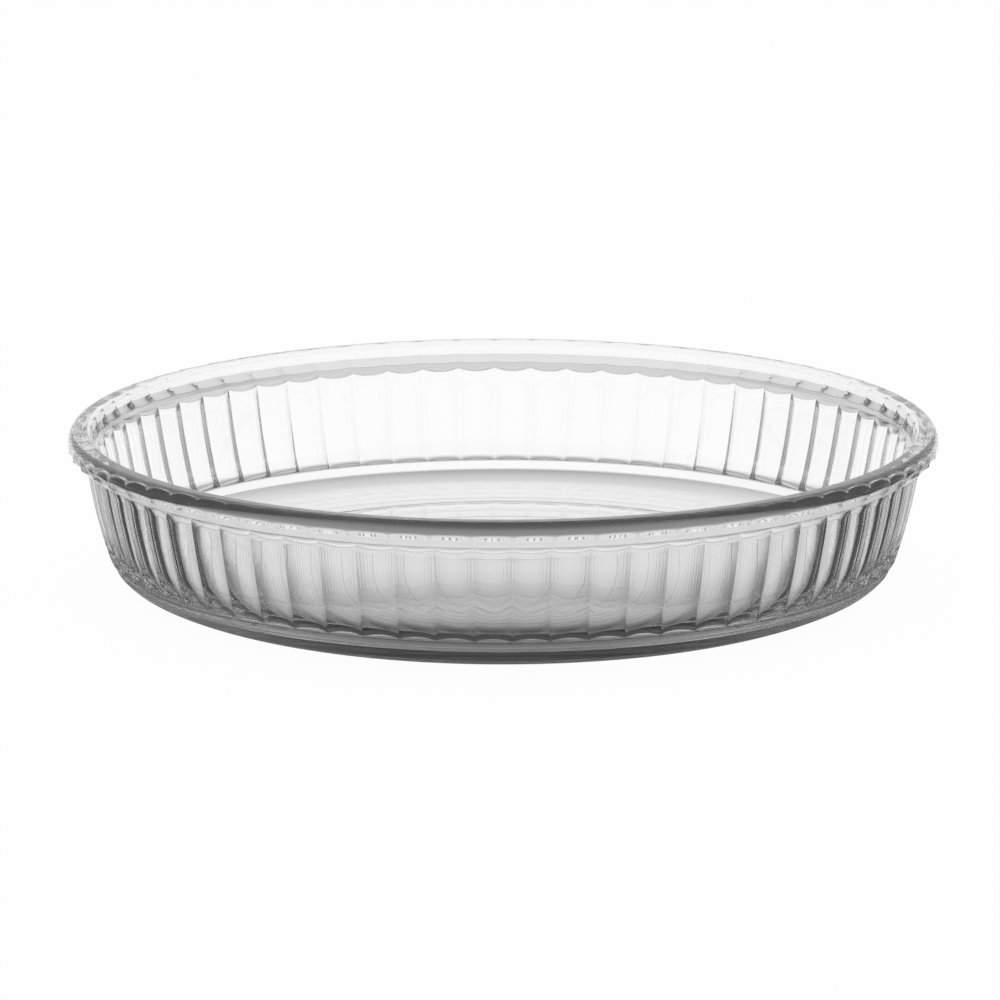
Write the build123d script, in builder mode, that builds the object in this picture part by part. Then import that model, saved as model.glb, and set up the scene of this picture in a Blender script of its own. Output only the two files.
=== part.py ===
from build123d import *
import os
from math import atan, cos, degrees, pi, sin

# A round fluted pie dish, pressed from one piece of clear glass.
# Millimetres, +Z up. The origin is the centre of the face that the dish stands on.

# Overall sizes
overall_diameter = 320.0
overall_height = 60.0
flute_count = 68

# Rim: a flange with a tall outer edge, rounded almost to its foot, where it ripples
rim_top_width = 8.6
rim_edge_height = 6.6
rim_round_width = 3.2
rim_inner_round = 1.6
rim_ripple_depth = 0.7
rim_ripple_height = 1.8
rim_edge_setback = 0.2
rim_tuck_drop = 1.6
rim_tuck_width = 5.4

# Neck: the smooth flare under the rim
neck_drop = 2.8
neck_setback = 3.6
neck_flare_drop = 2.9
neck_flare_width = 5.4

# Fluted wall, measured along its ridges
wall_top_setback = 6.6
wall_top_drop = 11.0
wall_lean = 8.3
wall_foot_height = 13.8
wall_bow = 0.9
wall_thickness = 5.2
flute_depth = 1.65

# Heel: the smooth rounded band under the flutes
heel_width = 24.1
heel_start_angle = 10.0
heel_mid_setback = 7.6
heel_mid_height = 5.5
shoulder_rise = 1.2
shoulder_width = 2.6
flute_tuck_drop = 2.8
flute_tuck_width = 2.6
crease_height = 9.8
crease_width = 2.4
crease_depth = 0.4

# Hollow: the floor, the round corner, and the wall, which is smooth inside
floor_thickness = 6.0
corner_radius = 23.0
inner_neck_drop = 3.8
inner_neck_slope = 0.7
inner_curve_drop = 18.2

# Underside: a shallow recess inside the foot ring, with concentric rings round a plain disc
recess_depth = 0.9
foot_ring_width = 8.0
recess_slope_width = 2.0
disc_radius = 53.5
ring_pitch = 10.8
ring_depth = 0.12
ring_width = 2.4

# How far one solid runs into another before they are joined
overrun = 1.0

rim_radius = overall_diameter / 2
rim_foot_height = overall_height - rim_edge_height
wall_top_radius = rim_radius - wall_top_setback
wall_top_height = overall_height - wall_top_drop
wall_foot_radius = wall_top_radius - wall_lean
wall_height = wall_top_height - wall_foot_height
heel_mid_radius = wall_foot_radius - heel_mid_setback
foot_radius = wall_foot_radius - heel_width
floor_height = recess_depth + floor_thickness
flute_pitch_angle = 2 * pi / flute_count


def ridge_radius(height):
    # The ridges follow a shallow bow from the heel to the neck.
    share = (height - wall_foot_height) / wall_height
    straight = wall_foot_radius + share * (wall_top_radius - wall_foot_radius)
    return straight + 4 * wall_bow * share * (1 - share)


def wall_angle(height):
    # How far the wall leans out there, from the upright
    share = (height - wall_foot_height) / wall_height
    return atan((wall_lean + 4 * wall_bow * (1 - 2 * share)) / wall_height)


def around(radius, angle):
    return (radius * cos(angle), radius * sin(angle))


def scalloped_section(height, radius, depth):
    # One arc for each flute, from ridge to ridge. A depth of zero gives a plain circle.
    with BuildSketch(Plane.XY.offset(height)) as section:
        with BuildLine():
            for index in range(flute_count):
                start = index * flute_pitch_angle
                ThreePointArc(
                    around(radius, start),
                    around(radius - depth, start + flute_pitch_angle / 2),
                    around(radius, start + flute_pitch_angle),
                )
        make_face()
    return section.sketch


# The hollow that the dish encloses, cut out of the glass further down
inner_edge_radius = rim_radius - rim_top_width
inner_neck_radius = inner_edge_radius - inner_neck_slope
inner_neck_height = overall_height - inner_neck_drop
curve_low = overall_height - inner_curve_drop
corner_middle = floor_height + corner_radius
corner_lean = wall_angle(floor_height + corner_radius * 3 / 4)
corner_top = corner_middle - corner_radius * sin(corner_lean)


def inner_radius(height):
    # The inside keeps its distance from the ridges, then curves out to the neck.
    plain = ridge_radius(height) - wall_thickness
    if height <= curve_low:
        return plain
    share = (height - curve_low) / (inner_neck_height - curve_low)
    reach = inner_neck_radius - ridge_radius(inner_neck_height) + wall_thickness
    return plain + share * share * reach


with BuildPart() as hollow:
    with BuildSketch(Plane.XZ):
        with BuildLine():
            floor_edge = inner_radius(corner_top) - corner_radius * cos(corner_lean)
            rounding_foot = overall_height - rim_inner_round
            rounding_top = inner_edge_radius + rim_inner_round
            inner_shares = (0, 0.2, 0.4, 0.6, 0.8, 1)
            inner_heights = [corner_top + s * (inner_neck_height - corner_top) for s in inner_shares]
            Line((0, floor_height), (floor_edge, floor_height))
            corner_arc = CenterArc(
                (floor_edge, corner_middle),
                corner_radius,
                -90,
                90 - degrees(corner_lean),
            )
            Spline([(inner_radius(h), h) for h in inner_heights])
            Line((inner_neck_radius, inner_neck_height), (inner_edge_radius, rounding_foot))
            RadiusArc(
                (inner_edge_radius, rounding_foot),
                (rounding_top, overall_height),
                rim_inner_round,
            )
            Polyline(
                (rounding_top, overall_height),
                (rounding_top, overall_height + overrun),
                (0, overall_height + overrun),
                (0, floor_height),
            )
        make_face()
    revolve(axis=Axis.Z)

with BuildPart() as glass_dish:
    # Fluted wall. Its lowest section is tucked inside the heel.
    tuck_height = wall_foot_height - flute_tuck_drop
    wall_foot = scalloped_section(wall_foot_height, wall_foot_radius, flute_depth)
    loft([scalloped_section(tuck_height, wall_foot_radius - flute_tuck_width, flute_depth), wall_foot])
    wall_height_shares = (0.33, 0.67, 1)
    wall_heights = [wall_foot_height + share * wall_height for share in wall_height_shares]
    wall_heights.append(wall_top_height + overrun)
    loft([wall_foot] + [scalloped_section(h, ridge_radius(h), flute_depth) for h in wall_heights])

    # Heel and base. The shoulder slopes back under the foot of each flute.
    with BuildSketch(Plane.XZ):
        with BuildLine():
            shoulder_top = wall_foot_height + shoulder_rise
            Line((0, 0), (foot_radius, 0))
            first = TangentArc(
                (foot_radius, 0),
                (heel_mid_radius, heel_mid_height),
                tangent=Vector(1, 0).rotate(Axis.Z, heel_start_angle),
            )
            second = TangentArc(
                (heel_mid_radius, heel_mid_height),
                (wall_foot_radius, wall_foot_height),
                tangent=first % 1,
            )
            Polyline(
                (wall_foot_radius, wall_foot_height),
                (wall_foot_radius - shoulder_width, shoulder_top),
                (0, shoulder_top),
                (0, 0),
            )
        make_face()
    revolve(axis=Axis.Z)

    # A soft crease runs round the heel, under the flutes.
    with BuildSketch(Plane.XZ):
        crease_share = (crease_height - heel_mid_height) / (wall_foot_height - heel_mid_height)
        crease_radius = ((crease_width / 2) ** 2 + crease_depth**2) / (2 * crease_depth)
        outward = (second % crease_share).rotate(Axis.Z, -90)
        with Locations(second @ crease_share + outward * (crease_radius - crease_depth)):
            Circle(crease_radius)
    revolve(axis=Axis.Z, mode=Mode.SUBTRACT)

    # Neck flare and the rounded top of the rim
    with BuildSketch(Plane.XZ):
        with BuildLine():
            ripple_top = rim_foot_height + rim_ripple_height
            flare_height = rim_foot_height - neck_drop
            flare_radius = rim_radius - neck_setback
            Polyline(
                (0, overall_height),
                (0, flare_height - neck_flare_drop),
                (flare_radius - neck_flare_width, flare_height - neck_flare_drop),
                (flare_radius, flare_height),
                (flare_radius, ripple_top),
                (rim_radius, ripple_top),
            )
            EllipticalCenterArc(
                (rim_radius - rim_round_width, ripple_top),
                rim_round_width,
                overall_height - ripple_top,
                start_angle=0,
                arc_size=90,
            )
            Line((rim_radius - rim_round_width, overall_height), (0, overall_height))
        make_face()
    revolve(axis=Axis.Z)

    # The underside of the rim's edge swells out a little at every ridge.
    loft(
        [
            scalloped_section(flare_height - rim_tuck_drop, flare_radius - rim_tuck_width, rim_ripple_depth),
            scalloped_section(flare_height, flare_radius + rim_ripple_depth / 2, rim_ripple_depth),
            scalloped_section(rim_foot_height, rim_radius - rim_edge_setback, rim_ripple_depth),
            scalloped_section(ripple_top, rim_radius, 0),
        ],
        ruled=True,
    )

    add(hollow.part, mode=Mode.SUBTRACT)

    # Recess under the base, inside the foot ring
    with BuildSketch(Plane.XZ):
        with BuildLine():
            recess_radius = foot_radius - foot_ring_width
            ring_field_radius = recess_radius - recess_slope_width
            Polyline(
                (0, 0),
                (recess_radius, 0),
                (ring_field_radius, recess_depth),
                (0, recess_depth),
                (0, 0),
            )
        make_face()
    revolve(axis=Axis.Z, mode=Mode.SUBTRACT)

    # Concentric rings: shallow rounded grooves in the recess
    with BuildSketch(Plane.XZ):
        ring_count = int((ring_field_radius - ring_width / 2 - disc_radius) / ring_pitch) + 1
        for index in range(ring_count):
            # The ring round the plain disc is twice as deep as the others.
            depth = ring_depth * (2 if index == 0 else 1)
            middle = disc_radius + index * ring_pitch
            with BuildLine():
                ThreePointArc(
                    (middle - ring_width / 2, recess_depth),
                    (middle, recess_depth + depth),
                    (middle + ring_width / 2, recess_depth),
                )
                Line((middle + ring_width / 2, recess_depth), (middle - ring_width / 2, recess_depth))
            make_face()
    revolve(axis=Axis.Z, mode=Mode.SUBTRACT)

glass_dish.part.label = "glass_dish"

os.makedirs("parts", exist_ok=True)
export_step(glass_dish.part, "parts/glass_dish.step")
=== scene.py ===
from math import asin, atan2, cos, hypot, pi, radians, sin, tan

import bpy
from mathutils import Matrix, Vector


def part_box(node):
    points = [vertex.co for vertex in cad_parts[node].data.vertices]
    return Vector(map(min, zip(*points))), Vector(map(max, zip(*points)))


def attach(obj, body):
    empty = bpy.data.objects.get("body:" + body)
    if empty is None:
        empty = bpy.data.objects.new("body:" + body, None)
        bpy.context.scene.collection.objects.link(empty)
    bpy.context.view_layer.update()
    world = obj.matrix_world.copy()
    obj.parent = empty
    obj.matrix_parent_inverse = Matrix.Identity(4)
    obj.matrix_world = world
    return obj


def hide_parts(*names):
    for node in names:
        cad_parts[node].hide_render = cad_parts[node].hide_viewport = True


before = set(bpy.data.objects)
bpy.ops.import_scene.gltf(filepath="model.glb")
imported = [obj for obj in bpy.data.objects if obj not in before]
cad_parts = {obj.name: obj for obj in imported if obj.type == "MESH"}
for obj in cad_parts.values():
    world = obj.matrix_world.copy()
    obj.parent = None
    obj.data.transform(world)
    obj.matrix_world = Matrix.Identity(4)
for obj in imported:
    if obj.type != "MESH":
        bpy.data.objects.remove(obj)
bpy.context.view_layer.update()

# Sizes in metres, in the CAD frame: +Z up, the origin under the middle of the dish
MM = 0.001
FLUTES = 68

# The far corner of the CAD dish's box gives the rim's radius and the height
RIM_RADIUS, _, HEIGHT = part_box("glass_dish")[1]

# Rim
RIM_TOP_WIDTH = 8.6 * MM
RIM_EDGE_HEIGHT = 6.6 * MM
RIM_ROUND_WIDTH = 3.2 * MM
RIM_INNER_ROUND = 1.6 * MM
RIM_RIPPLE_DEPTH = 0.7 * MM
RIM_RIPPLE_HEIGHT = 1.8 * MM
RIM_EDGE_SETBACK = 0.2 * MM

# Neck, up to the bend where it runs out under the rim
NECK_DROP = 2.8 * MM
NECK_SETBACK = 3.6 * MM
NECK_FLARE_SLOPE = 2.9 / 5.4
NECK_BEND_WIDTH = 1.2 * MM
NECK_BEND_HEIGHT = 0.6 * MM

# Fluted wall, along its ridges
WALL_TOP_SETBACK = 6.6 * MM
WALL_TOP_DROP = 11.0 * MM
WALL_LEAN = 8.3 * MM
WALL_FOOT_HEIGHT = 13.8 * MM
WALL_BOW = 0.9 * MM
WALL_THICKNESS = 5.2 * MM
FLUTE_DEPTH = 1.65 * MM

# Rings at the two ends of the flutes. Each has a step out and a step up from the end of the ridges, and its
# shares of the flute's depth and of the slope there.
FLUTE_FOOT_STEPS = (
    (0, 0, 0.04, 0.04),
    (0.02 * MM, 0.05 * MM, 0.9, 0.9),
    (0.05 * MM, 0.25 * MM, 1, 1.05),
)
FLUTE_TOP_STEPS = (
    (-0.03 * MM, -0.12 * MM, 1, 1),
    (0.15 * MM, 0.1 * MM, 0.9, 0.9),
)

# Heel, with a small ledge in its crease
HEEL_WIDTH = 24.1 * MM
HEEL_START_ANGLE = radians(10)
HEEL_MID_SETBACK = 7.6 * MM
HEEL_MID_HEIGHT = 5.5 * MM
SHOULDER_SLOPE = 1.2 / 2.6
LEDGE_LOW = 9.8 * MM
LEDGE_HIGH = 10.5 * MM
LEDGE_WIDTH = 0.8 * MM

# Hollow
FLOOR_THICKNESS = 6.0 * MM
CORNER_RADIUS = 23.0 * MM
CORNER_LEAN = radians(14.3)
HOLLOW_TOP_DROP = 6.4 * MM
INNER_NECK_FLARE = 2.6 * MM
INNER_NECK_SLOPE = 0.7 * MM
FLOOR_EDGE_STEP = 0.3 * MM

# Underside
RECESS_DEPTH = 0.9 * MM
FOOT_RING_WIDTH = 8.0 * MM
FOOT_EDGE_STEP = 0.5 * MM
RECESS_SLOPE_WIDTH = 2.0 * MM
DISC_RADIUS = 53.5 * MM
RING_PITCH = 10.8 * MM
RING_WIDTH = 2.4 * MM
RING_DEPTH = 0.05 * MM
DISC_RING_DEPTH = 4 * RING_DEPTH

WALL_TOP_RADIUS = RIM_RADIUS - WALL_TOP_SETBACK
WALL_TOP_HEIGHT = HEIGHT - WALL_TOP_DROP
WALL_FOOT_RADIUS = WALL_TOP_RADIUS - WALL_LEAN
WALL_HEIGHT = WALL_TOP_HEIGHT - WALL_FOOT_HEIGHT
FOOT_RADIUS = WALL_FOOT_RADIUS - HEEL_WIDTH
FLOOR_HEIGHT = RECESS_DEPTH + FLOOR_THICKNESS

# How finely the mesh is cut round the dish
FLUTE_SHARES = (0, 0.03, 0.08, 0.15, 0.25, 0.37, 0.5, 0.63, 0.75, 0.85, 0.92, 0.97)
PLAIN_SHARES = (0, 0.25, 0.5, 0.75)

# How finely its section is cut
LOWER_HEEL_STEPS = 9
UPPER_HEEL_STEPS = 60
WALL_STEPS = 12
RIM_ROUND_STEPS = 10
INNER_ROUND_STEPS = 5
NECK_CURVE_STEPS = 8
CORNER_STEPS = 18
UNDER_LEDGE_SHARES = (0.15, 0.3, 0.45, 0.6, 0.75, 0.88, 0.97)
LEDGE_SHARES = (0, 0.08, 0.5, 0.92, 1)
OVER_LEDGE_SHARES = (0.04, 0.12, 0.25, 0.4, 0.55, 0.7, 0.85)
RIM_UNDERSIDE_SHARES = (0.2, 0.4, 0.6, 0.8, 0.92)
RIM_RIPPLE_SHARES = (0.05, 0.2, 0.4, 0.6, 0.8, 1)
CONE_SHARES = (0.2, 0.4, 0.6, 0.8, 1)
GROOVE_SHARES = (-1.2, -1, -0.7, -0.4, -0.15, 0.15, 0.4, 0.7, 1, 1.2)

# The slope at the recess's edge: shares of its width outward, each with a share of the recess's depth
RECESS_SLOPE_SHARES = ((-0.3, 1), (0, 0.97), (0.25, 0.8), (0.5, 0.5), (0.75, 0.2), (1, 0.03), (1.3, 0))


def ridge_radius(height):
    """The radius of the ridges at a height: a cone, bowed outward in its middle."""
    share = (height - WALL_FOOT_HEIGHT) / WALL_HEIGHT
    straight = WALL_FOOT_RADIUS + share * (WALL_TOP_RADIUS - WALL_FOOT_RADIUS)
    return straight + 4 * WALL_BOW * share * (1 - share)


def inner_wall(height):
    """The inside of the wall, a plain turned surface that keeps its distance from the ridges outside."""
    return ridge_radius(height) - WALL_THICKNESS


def scallop(share):
    """0 on a ridge, 1 along the middle of a flute, and round like an arc in between."""
    return 1 - (2 * share - 1) ** 2


def arc(start, end, bulge, count):
    """Points along an arc from start to end, both left out, bulging to the right of its way."""
    (start_x, start_y), (end_x, end_y) = start, end
    half = hypot(end_x - start_x, end_y - start_y) / 2
    radius = (half ** 2 + bulge ** 2) / (2 * bulge)
    along = ((end_x - start_x) / (2 * half), (end_y - start_y) / (2 * half))
    across = (along[1], -along[0])
    middle = ((start_x + end_x) / 2, (start_y + end_y) / 2)
    centre = (middle[0] - across[0] * (radius - bulge), middle[1] - across[1] * (radius - bulge))
    spread = asin(half / radius)
    points = []
    for index in range(1, count):
        turn = -spread + 2 * spread * index / count
        x = centre[0] + radius * (along[0] * sin(turn) + across[0] * cos(turn))
        y = centre[1] + radius * (along[1] * sin(turn) + across[1] * cos(turn))
        points.append((x, y))
    return points


def radius_at(points, height):
    """The radius of a rising line of points at a height."""
    for (low_radius, low), (high_radius, high) in zip(points, points[1:]):
        if low <= height <= high:
            return low_radius + (high_radius - low_radius) * (height - low) / (high - low)


class Ring:
    """One ring of the dish's surface, cut coarsely where it is plain.

    place(lift) gives its radius and height, where lift is 0 on a ridge and 1 along the middle of a flute.
    """

    def __init__(self, place, plain=False):
        self.place = place
        self.plain = plain


def plain_ring(radius, height):
    return Ring(lambda lift: (radius, height), plain=True)


def fluted_ring(radius, height, inward, upward=0.0):
    """A ring that goes inward and upward by these lengths along the middle of each flute."""
    return Ring(lambda lift: (radius - inward * lift, height + upward * lift))


def fine_ring(radius, height):
    """A round ring that is cut as finely as the fluted ones."""
    return fluted_ring(radius, height, 0.0)


def heel_arcs():
    """The heel's section as two lines of points: from the foot to its middle, and on to the wall."""
    foot = (FOOT_RADIUS, 0)
    heel_mid = (WALL_FOOT_RADIUS - HEEL_MID_SETBACK, HEEL_MID_HEIGHT)
    wall_foot = (WALL_FOOT_RADIUS, WALL_FOOT_HEIGHT)
    lower_angle = atan2(heel_mid[1], heel_mid[0] - foot[0])
    lower_turn = lower_angle - HEEL_START_ANGLE
    lower_chord = hypot(heel_mid[0] - foot[0], heel_mid[1])
    lower_bulge = lower_chord / 2 * tan(lower_turn / 2)
    lower = [foot] + arc(foot, heel_mid, lower_bulge, LOWER_HEEL_STEPS) + [heel_mid]
    # The upper arc starts in the direction in which the lower one ends
    mid_angle = lower_angle + lower_turn
    upper_angle = atan2(wall_foot[1] - heel_mid[1], wall_foot[0] - heel_mid[0])
    upper_chord = hypot(wall_foot[1] - heel_mid[1], wall_foot[0] - heel_mid[0])
    upper_bulge = upper_chord / 2 * tan((upper_angle - mid_angle) / 2)
    upper = [heel_mid] + arc(heel_mid, wall_foot, upper_bulge, UPPER_HEEL_STEPS) + [wall_foot]
    return lower, upper


def heel_rings():
    """From the foot ring up to the flutes. Above its ledge the heel is drawn in, until it meets them."""
    points, upper = heel_arcs()
    for share in UNDER_LEDGE_SHARES:
        height = HEEL_MID_HEIGHT + share * (LEDGE_LOW - HEEL_MID_HEIGHT)
        points.append((radius_at(upper, height), height))
    ledge_radius = radius_at(upper, LEDGE_LOW)
    for share in LEDGE_SHARES:
        points.append((ledge_radius - share * LEDGE_WIDTH, LEDGE_LOW + share * (LEDGE_HIGH - LEDGE_LOW)))
    undrawn_setback = WALL_FOOT_RADIUS - radius_at(upper, LEDGE_HIGH)
    drawn_in = (WALL_FOOT_RADIUS - ledge_radius + LEDGE_WIDTH) / undrawn_setback
    for share in OVER_LEDGE_SHARES:
        height = LEDGE_HIGH + share * (WALL_FOOT_HEIGHT - LEDGE_HIGH)
        points.append((WALL_FOOT_RADIUS - (WALL_FOOT_RADIUS - radius_at(upper, height)) * drawn_in, height))
    return [plain_ring(radius, height) for radius, height in points]


def wall_rings():
    """The fluted wall, from the shoulders at the flutes' feet up to the crease under the neck."""
    shoulder_rise = FLUTE_DEPTH * SHOULDER_SLOPE
    crease_drop = FLUTE_DEPTH * NECK_FLARE_SLOPE
    rings = []
    for out, up, depth_share, rise_share in FLUTE_FOOT_STEPS:
        inward, upward = depth_share * FLUTE_DEPTH, rise_share * shoulder_rise
        rings.append(fluted_ring(WALL_FOOT_RADIUS + out, WALL_FOOT_HEIGHT + up, inward, upward))
    for index in range(1, WALL_STEPS):
        share = index / WALL_STEPS
        height = WALL_FOOT_HEIGHT + share * WALL_HEIGHT
        upward = shoulder_rise * (1 - share) - crease_drop * share
        rings.append(fluted_ring(ridge_radius(height), height, FLUTE_DEPTH, upward))
    for out, up, depth_share, drop_share in FLUTE_TOP_STEPS:
        inward, upward = depth_share * FLUTE_DEPTH, -drop_share * crease_drop
        rings.append(fluted_ring(WALL_TOP_RADIUS + out, WALL_TOP_HEIGHT + up, inward, upward))
    return rings


def rim_rings():
    """From the bend at the neck's top, out under the rim, round its edge and over its flat top."""
    bend_radius = RIM_RADIUS - NECK_SETBACK
    edge_radius = RIM_RADIUS - RIM_EDGE_SETBACK
    edge_foot = HEIGHT - RIM_EDGE_HEIGHT
    bend_height = edge_foot - NECK_DROP
    rings = [
        fine_ring(bend_radius - NECK_BEND_WIDTH, bend_height - NECK_BEND_HEIGHT),
        fine_ring(bend_radius, bend_height),
    ]
    for share in RIM_UNDERSIDE_SHARES:
        radius = bend_radius + share * (edge_radius - bend_radius)
        rings.append(fluted_ring(radius, bend_height + share * NECK_DROP, share * RIM_RIPPLE_DEPTH))
    for share in RIM_RIPPLE_SHARES:
        radius = edge_radius + share * RIM_EDGE_SETBACK
        height = edge_foot + share * RIM_RIPPLE_HEIGHT
        rings.append(fluted_ring(radius, height, (1 - share) * RIM_RIPPLE_DEPTH))
    # The outer edge is rounded from its ripple up to the flat top
    round_height = RIM_EDGE_HEIGHT - RIM_RIPPLE_HEIGHT
    for index in range(1, RIM_ROUND_STEPS + 1):
        turn = pi / 2 * index / RIM_ROUND_STEPS
        radius = RIM_RADIUS - RIM_ROUND_WIDTH * (1 - cos(turn))
        rings.append(fine_ring(radius, HEIGHT - round_height * (1 - sin(turn))))
    inner_edge = RIM_RADIUS - RIM_TOP_WIDTH
    for index in range(INNER_ROUND_STEPS + 1):
        turn = pi / 2 * index / INNER_ROUND_STEPS
        radius = inner_edge + RIM_INNER_ROUND * (1 - sin(turn))
        rings.append(fine_ring(radius, HEIGHT - RIM_INNER_ROUND * (1 - cos(turn))))
    return rings


def inner_rings():
    """The hollow: the neck's inside, the smooth cone, and the large round corner down to the floor."""
    hollow_top = HEIGHT - HOLLOW_TOP_DROP
    inner_neck = RIM_RADIUS - RIM_TOP_WIDTH - INNER_NECK_SLOPE
    neck_top = hollow_top + INNER_NECK_FLARE
    rings = [fine_ring(inner_neck, neck_top)]
    # The neck's inside runs over into the cone in a soft curve
    curve_foot = neck_top - 2 * (neck_top - WALL_TOP_HEIGHT)
    for index in range(1, NECK_CURVE_STEPS + 1):
        share = index / NECK_CURVE_STEPS
        height = neck_top + share * (curve_foot - neck_top)
        blend = (1 - share) ** 2
        rings.append(fine_ring(inner_wall(height) + blend * (inner_neck - inner_wall(neck_top)), height))
    centre_height = FLOOR_HEIGHT + CORNER_RADIUS
    cone_foot = centre_height - CORNER_RADIUS * sin(CORNER_LEAN)
    for share in CONE_SHARES:
        height = curve_foot + share * (cone_foot - curve_foot)
        rings.append(fine_ring(inner_wall(height), height))
    centre_radius = inner_wall(cone_foot) - CORNER_RADIUS * cos(CORNER_LEAN)
    for index in range(1, CORNER_STEPS + 1):
        turn = CORNER_LEAN + (pi / 2 - CORNER_LEAN) * index / CORNER_STEPS
        radius = centre_radius + CORNER_RADIUS * cos(turn)
        rings.append(fine_ring(radius, centre_height - CORNER_RADIUS * sin(turn)))
    # A ring just inside the floor's edge keeps the floor's shading flat
    rings.append(plain_ring(centre_radius - FLOOR_EDGE_STEP, FLOOR_HEIGHT))
    return rings


def groove(middle, width, depth):
    """A shallow round-bottomed groove in the underside, from its inner edge outward."""
    rings = []
    for share in GROOVE_SHARES:
        deep = (1 + cos(pi * share)) / 2 if abs(share) < 1 else 0.0
        rings.append(plain_ring(middle + share * width / 2, RECESS_DEPTH + deep * depth))
    return rings


def underside_rings():
    """The underside outward: the disc's edge, the rings round it, the recess's edge and the foot ring."""
    recess_radius = FOOT_RADIUS - FOOT_RING_WIDTH
    field = recess_radius - RECESS_SLOPE_WIDTH
    rings = groove(DISC_RADIUS, RING_WIDTH, DISC_RING_DEPTH)
    count = int((field - RING_WIDTH / 2 - DISC_RADIUS) / RING_PITCH)
    for index in range(1, count + 1):
        rings += groove(DISC_RADIUS + index * RING_PITCH, RING_WIDTH, RING_DEPTH)
    for share, depth_share in RECESS_SLOPE_SHARES:
        rings.append(plain_ring(field + share * RECESS_SLOPE_WIDTH, depth_share * RECESS_DEPTH))
    rings.append(plain_ring(FOOT_RADIUS - FOOT_EDGE_STEP, 0))
    return rings


def band(first, per_first, second, per_second):
    """Faces between two loops of vertices, each given by its first vertex and its vertices for each flute.

    Where one loop is cut finer, each step of the coarser one gets a fan of triangles.
    """
    faces = []
    if per_first == per_second:
        count = per_first * FLUTES
        for index in range(count):
            after = (index + 1) % count
            faces.append((first + index, first + after, second + after, second + index))
        return faces
    coarse, fine = (first, second) if per_first < per_second else (second, first)
    per_coarse, per_fine = sorted((per_first, per_second))
    ratio = per_fine // per_coarse
    coarse_count, fine_count = per_coarse * FLUTES, per_fine * FLUTES
    turned = per_first > per_second
    for index in range(coarse_count):
        here, after = coarse + index, coarse + (index + 1) % coarse_count
        for step in range(ratio):
            low = fine + (index * ratio + step) % fine_count
            high = fine + (index * ratio + step + 1) % fine_count
            corner = here if step < ratio // 2 else after
            faces.append((corner, low, high) if turned else (corner, high, low))
        middle = fine + (index * ratio + ratio // 2) % fine_count
        faces.append((here, middle, after) if turned else (here, after, middle))
    return faces


def dish_mesh():
    """The dish's closed skin, ring by ring: underneath, up the outside, over the rim and down the inside."""
    vertices = []
    loops = []
    for ring in underside_rings() + heel_rings() + wall_rings() + rim_rings() + inner_rings():
        shares = PLAIN_SHARES if ring.plain else FLUTE_SHARES
        loops.append((len(vertices), len(shares)))
        for flute in range(FLUTES):
            for share in shares:
                angle = 2 * pi * (flute + share) / FLUTES
                radius, height = ring.place(scallop(share))
                vertices.append((radius * cos(angle), radius * sin(angle), height))
    faces = []
    for (first, per_first), (second, per_second) in zip(loops, loops[1:]):
        faces += band(first, per_first, second, per_second)
    # Two middle points close the underside and the floor
    bottom_middle = len(vertices)
    vertices.append((0, 0, RECESS_DEPTH))
    floor_middle = len(vertices)
    vertices.append((0, 0, FLOOR_HEIGHT))
    first, per_flute = loops[0]
    count = per_flute * FLUTES
    for index in range(count):
        faces.append((bottom_middle, first + (index + 1) % count, first + index))
    last, per_flute = loops[-1]
    count = per_flute * FLUTES
    for index in range(count):
        faces.append((floor_middle, last + index, last + (index + 1) % count))
    mesh = bpy.data.meshes.new("glass_dish_skin")
    mesh.from_pydata(vertices, [], faces)
    mesh.validate()
    mesh.polygons.foreach_set("use_smooth", [True] * len(mesh.polygons))
    mesh.update()
    return mesh


# Clear glass. It takes light from long ways through it: for each metre, the density times what the colour
# lacks of 1. A shadow through it has a colour of its own.
GLASS_IOR = 1.48
ABSORPTION_DENSITY = 4.0
ABSORPTION_COLOUR = (0.2, 0.2, 0.2, 1)
SHADOW_COLOUR = (0.93, 0.93, 0.93, 1)


def glass_material():
    material = bpy.data.materials.new("clear_glass")
    material.use_nodes = True
    nodes, links = material.node_tree.nodes, material.node_tree.links
    nodes.clear()
    glass = nodes.new("ShaderNodeBsdfPrincipled")
    glass.inputs["Base Color"].default_value = (1, 1, 1, 1)
    glass.inputs["Roughness"].default_value = 0.0
    glass.inputs["IOR"].default_value = GLASS_IOR
    glass.inputs["Transmission Weight"].default_value = 1
    absorption = nodes.new("ShaderNodeVolumeAbsorption")
    absorption.inputs["Color"].default_value = ABSORPTION_COLOUR
    absorption.inputs["Density"].default_value = ABSORPTION_DENSITY
    clear = nodes.new("ShaderNodeBsdfTransparent")
    clear.inputs["Color"].default_value = SHADOW_COLOUR
    path = nodes.new("ShaderNodeLightPath")
    mix = nodes.new("ShaderNodeMixShader")
    links.new(path.outputs["Is Shadow Ray"], mix.inputs["Fac"])
    links.new(glass.outputs["BSDF"], mix.inputs[1])
    links.new(clear.outputs["BSDF"], mix.inputs[2])
    output = nodes.new("ShaderNodeOutputMaterial")
    links.new(mix.outputs["Shader"], output.inputs["Surface"])
    links.new(absorption.outputs["Volume"], output.inputs["Volume"])
    return material


def build_dish():
    mesh = dish_mesh()
    dish = bpy.data.objects.new("glass_dish_glass", mesh)
    bpy.context.scene.collection.objects.link(dish)
    mesh.materials.append(glass_material())
    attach(dish, "root")
    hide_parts("glass_dish")


# Camera, as fitted to the photograph, in metres and in pixels of a square picture
CAMERA_DISTANCE = 2.912
CAMERA_ELEVATION = radians(12.994)
CAMERA_TURN = radians(1.259)
TARGET_HEIGHT = 28 * MM
IMAGE_SIDE = 1000
TARGET_PIXEL = (503.17, 510.28)
FOCAL_PIXELS = 7900.5
CLIP_START = 0.1
CLIP_END = 100
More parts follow.
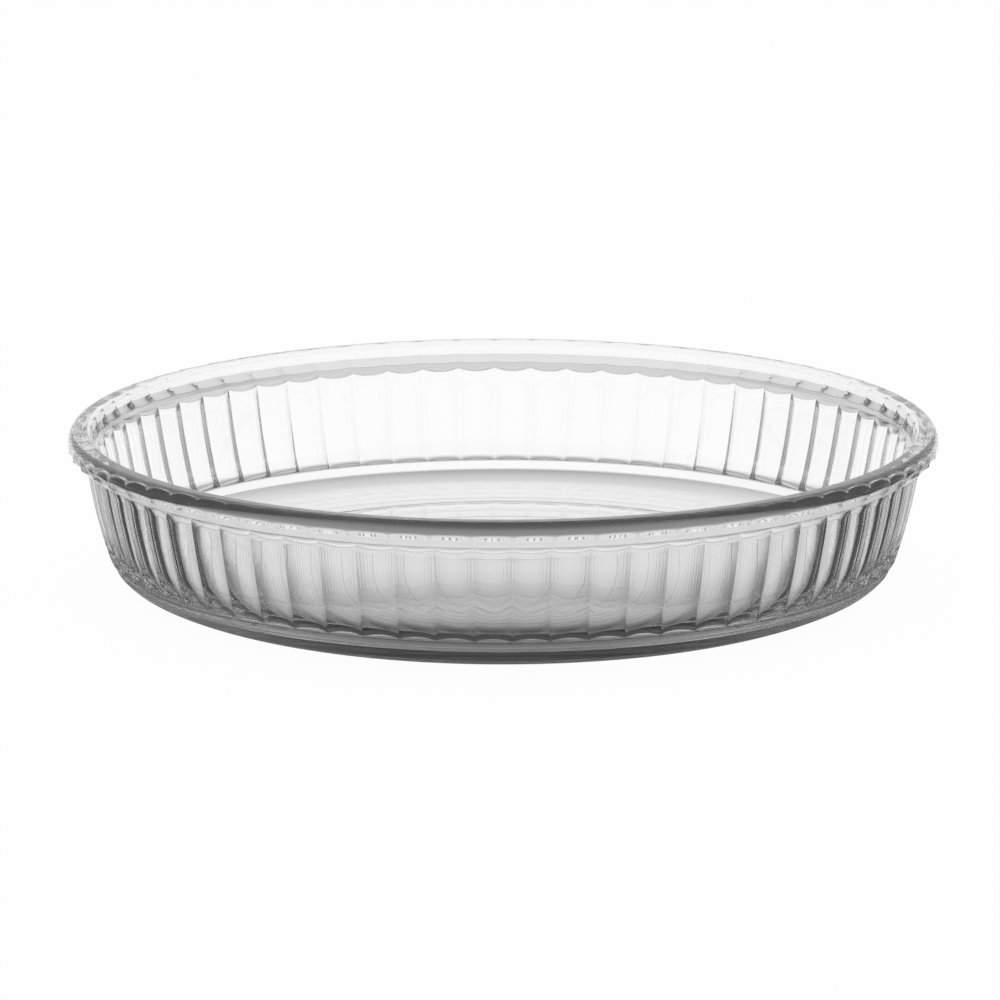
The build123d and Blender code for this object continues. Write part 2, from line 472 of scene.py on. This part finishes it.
# The sensor is in millimetres, as the lens is
SENSOR = 36.0


def build_camera():
    data = bpy.data.cameras.new("camera")
    camera = bpy.data.objects.new("camera", data)
    bpy.context.scene.collection.objects.link(camera)
    flat = CAMERA_DISTANCE * cos(CAMERA_ELEVATION)
    camera.location = (
        -flat * sin(CAMERA_TURN),
        -flat * cos(CAMERA_TURN),
        TARGET_HEIGHT + CAMERA_DISTANCE * sin(CAMERA_ELEVATION),
    )
    camera.rotation_euler = (pi / 2 - CAMERA_ELEVATION, 0, -CAMERA_TURN)
    data.sensor_width = SENSOR
    data.lens = SENSOR * FOCAL_PIXELS / IMAGE_SIDE
    data.shift_x = (IMAGE_SIDE / 2 - TARGET_PIXEL[0]) / IMAGE_SIDE
    data.shift_y = (TARGET_PIXEL[1] - IMAGE_SIDE / 2) / IMAGE_SIDE
    data.clip_start = CLIP_START
    data.clip_end = CLIP_END
    bpy.context.scene.camera = camera


# A ray of less depth than this has passed two faces of the glass at most
STRAIGHT_DEPTH = 2.5


class Wiring:
    """Short ways to join the nodes of a world or a material."""

    def __init__(self, owner):
        owner.use_nodes = True
        self.nodes, self.links = owner.node_tree.nodes, owner.node_tree.links
        self.nodes.clear()

    def feed(self, value, socket):
        if isinstance(value, (int, float)):
            socket.default_value = value
        else:
            self.links.new(value, socket)

    def maths(self, operation, *values):
        node = self.nodes.new("ShaderNodeMath")
        node.operation = operation
        for value, socket in zip(values, node.inputs):
            self.feed(value, socket)
        return node.outputs[0]

    def distance(self, x, y):
        """The distance from the upright axis."""
        squares = self.maths("ADD", self.maths("MULTIPLY", x, x), self.maths("MULTIPLY", y, y))
        return self.maths("SQRT", squares)

    def smooth(self, value, low, high, start=0.0, end=1.0):
        """Runs softly from start to end while the value goes from low to high."""
        node = self.nodes.new("ShaderNodeMapRange")
        node.interpolation_type = "SMOOTHSTEP"
        for number, socket in zip((value, low, high, start, end), node.inputs):
            self.feed(number, socket)
        return node.outputs[0]

    def curve(self, value, points):
        """Runs straight from point to point. The values go from -1 to 1."""
        node = self.nodes.new("ShaderNodeValToRGB")
        stops = node.color_ramp.elements
        while len(stops) < len(points):
            stops.new(1.0)
        for stop, (place, level) in zip(stops, points):
            stop.position = (place + 1) / 2
            stop.color = (level, level, level, 1)
        self.feed(self.maths("MULTIPLY_ADD", value, 0.5, 0.5), node.inputs[0])
        return node.outputs[0]

    def blend(self, share, first, second):
        node = self.nodes.new("ShaderNodeMix")
        for value, socket in zip((share, first, second), (node.inputs[0], node.inputs[2], node.inputs[3])):
            self.feed(value, socket)
        return node.outputs[0]

    def split(self, output):
        node = self.nodes.new("ShaderNodeSeparateXYZ")
        self.links.new(self.nodes.new("ShaderNodeTexCoord").outputs[output], node.inputs[0])
        return node.outputs

    def straight_through(self):
        """1 for a look through two faces of the glass, and 0 for every longer way."""
        path = self.nodes.new("ShaderNodeLightPath").outputs
        short = self.maths("LESS_THAN", path["Ray Depth"], STRAIGHT_DEPTH)
        return self.maths("MULTIPLY", short, path["Is Transmission Ray"])

    def rays(self):
        """Which rays come straight from the camera, and which by way of glass."""
        path = self.nodes.new("ShaderNodeLightPath").outputs
        by_glass = self.maths("MAXIMUM", path["Is Glossy Ray"], path["Is Transmission Ray"])
        return path["Is Camera Ray"], by_glass

    def shine(self, kind, strength):
        node = self.nodes.new(kind)
        self.feed(strength, node.inputs["Strength"])
        return node.outputs[0]

    def mix_shaders(self, share, first, second):
        node = self.nodes.new("ShaderNodeMixShader")
        self.feed(share, node.inputs[0])
        self.links.new(first, node.inputs[1])
        self.links.new(second, node.inputs[2])
        return node.outputs[0]

    def put_out(self, kind, shader):
        output = self.nodes.new(kind)
        self.links.new(shader, output.inputs["Surface"])


# Past the dish the camera sees plain white, and an even light falls on the floor. The glass shows a studio:
# a pale low backdrop behind the dish, grey sides, light low on the camera's side and soft light from above.
WHITE = 1.0
LIGHT_LEVEL = 1.0
TOP_LIGHT = 0.85

# Levels of the sky's low and middle bands, from the camera's side (-1) round to straight behind the dish (1)
LOW_SKY = (
    (-1, 1.1), (-0.64, 1.0), (-0.2, 0.8), (0.17, 0.5), (0.5, 0.33),
    (0.74, 0.26), (0.87, 0.34), (0.94, 0.55), (0.975, 1.0), (1, 1.0),
)
MID_SKY = (
    (-1, 0.3), (0.3, 0.3), (0.64, 0.5), (0.82, 0.85),
    (0.9, 0.95), (0.96, 0.8), (0.985, 0.25), (1, 0.06),
)

# Where each band of the sky runs over into the next, as the upward part of a direction
LOW_TO_MID = (0.33, 0.5)
MID_TO_TOP = (0.65, 0.95)

# Keeps a division off zero straight above and below
LEAST_DISTANCE = 0.001


def build_world():
    world = bpy.data.worlds.new("studio")
    bpy.context.scene.world = world
    wiring = Wiring(world)
    x, y, z = wiring.split("Generated")
    behind = wiring.maths("DIVIDE", y, wiring.maths("MAXIMUM", wiring.distance(x, y), LEAST_DISTANCE))
    sky = wiring.blend(
        wiring.smooth(z, *LOW_TO_MID),
        wiring.curve(behind, LOW_SKY),
        wiring.curve(behind, MID_SKY),
    )
    sky = wiring.blend(wiring.smooth(z, *MID_TO_TOP), sky, TOP_LIGHT)
    camera, by_glass = wiring.rays()
    lit = wiring.shine("ShaderNodeBackground", LIGHT_LEVEL)
    studio = wiring.shine("ShaderNodeBackground", sky)
    white = wiring.shine("ShaderNodeBackground", WHITE)
    shader = wiring.mix_shaders(by_glass, lit, studio)
    shader = wiring.mix_shaders(camera, shader, white)
    wiring.put_out("ShaderNodeOutputWorld", shader)


# The floor, and the share of plain white in what the camera sees of it
FLOOR_HALF_SIDE = 30.0
FLOOR_DROP = 0.02 * MM
FLOOR_GREY = 0.95
FLOOR_WHITE_SHARE = 0.96

# The glass shows the floor as a table, with painted light and shade. Its levels run from front to back, and
# outward from the middle, where a narrow ring of painted shadow lies just outside the dish.
# Places are in metres.
# Painted shadow of the dish on the table in front of it: dark at the front, pale behind the dish
TABLE_FRONT_SHADOW = (
    (-0.12, 0.04), (-0.1, 0.1), (-0.08, 0.25), (-0.05, 0.3),
    (-0.03, 0.45), (0.01, 0.85), (0.05, 0.97),
)
# Painted shade outward from the middle: a little darker under the dish, and a narrow ring of painted shadow
# just outside it
TABLE_ROUND_SHADE = (
    (0, 0.95), (0.1, 0.93), (0.15, 0.9), (0.162, 0.75),
    (0.168, 0.4), (0.174, 0.4), (0.183, 1.0),
)

# Its sides carry painted shade beyond the first distance and are lit within the second, and these grow
# towards the back
TABLE_SIDE = (0.2, 0.1)
TABLE_SIDE_GROWTH = 0.6
# The level of the painted shade on the table's sides
TABLE_SIDE_SHADE_LEVEL = 0.05

# Far from the dish the painted shade is lifted to grey at least
TABLE_FAR_START = 0.3
TABLE_FAR_END = 1.2
TABLE_FAR = 0.5


# The table's levels of painted light and shade, as the glass sees them
def painted_table_shade(wiring):
    x, y, _ = wiring.split("Object")
    away = wiring.distance(x, y)
    growth = wiring.maths("MULTIPLY", y, TABLE_SIDE_GROWTH)
    sideways = wiring.maths("SUBTRACT", wiring.maths("ABSOLUTE", x), growth)
    # Straight through one wall or the floor, the painted shade in front and at the sides is left out, and
    # the table is pale apart from its ring of painted shadow
    straight = wiring.straight_through()
    front = wiring.maths("MAXIMUM", wiring.curve(y, TABLE_FRONT_SHADOW), straight)
    side = wiring.maths("MAXIMUM", wiring.smooth(sideways, *TABLE_SIDE), straight)
    lit = wiring.maths("MINIMUM", front, wiring.curve(away, TABLE_ROUND_SHADE))
    near = wiring.blend(side, TABLE_SIDE_SHADE_LEVEL, lit)
    far = wiring.smooth(away, TABLE_FAR_START, TABLE_FAR_END, 0.0, TABLE_FAR)
    return wiring.maths("MAXIMUM", near, far)


def build_floor():
    mesh = bpy.data.meshes.new("floor")
    side = FLOOR_HALF_SIDE
    corners = [(-side, -side, 0), (side, -side, 0), (side, side, 0), (-side, side, 0)]
    mesh.from_pydata(corners, [], [(0, 1, 2, 3)])
    floor = bpy.data.objects.new("floor", mesh)
    floor.location.z = -FLOOR_DROP
    bpy.context.scene.collection.objects.link(floor)
    material = bpy.data.materials.new("floor_white_painted_shade")
    wiring = Wiring(material)
    camera, by_glass = wiring.rays()
    matt = wiring.nodes.new("ShaderNodeBsdfDiffuse")
    matt.inputs["Color"].default_value = (FLOOR_GREY, FLOOR_GREY, FLOOR_GREY, 1)
    white = wiring.shine("ShaderNodeEmission", WHITE)
    # The glass sees the table's painted light and shade as an emission
    table = wiring.shine("ShaderNodeEmission", painted_table_shade(wiring))
    shader = wiring.mix_shaders(wiring.maths("MULTIPLY", camera, FLOOR_WHITE_SHARE), matt.outputs[0], white)
    shader = wiring.mix_shaders(by_glass, shader, table)
    wiring.put_out("ShaderNodeOutputMaterial", shader)
    mesh.materials.append(material)


# Light takes many turns in the glass, and fewer bounces would leave black spots
BOUNCES = 48


def set_render():
    scene = bpy.context.scene
    scene.view_settings.view_transform = "Standard"
    scene.cycles.max_bounces = BOUNCES
    scene.cycles.transmission_bounces = BOUNCES
    scene.cycles.glossy_bounces = BOUNCES


build_dish()
build_camera()
build_world()
build_floor()
set_render()
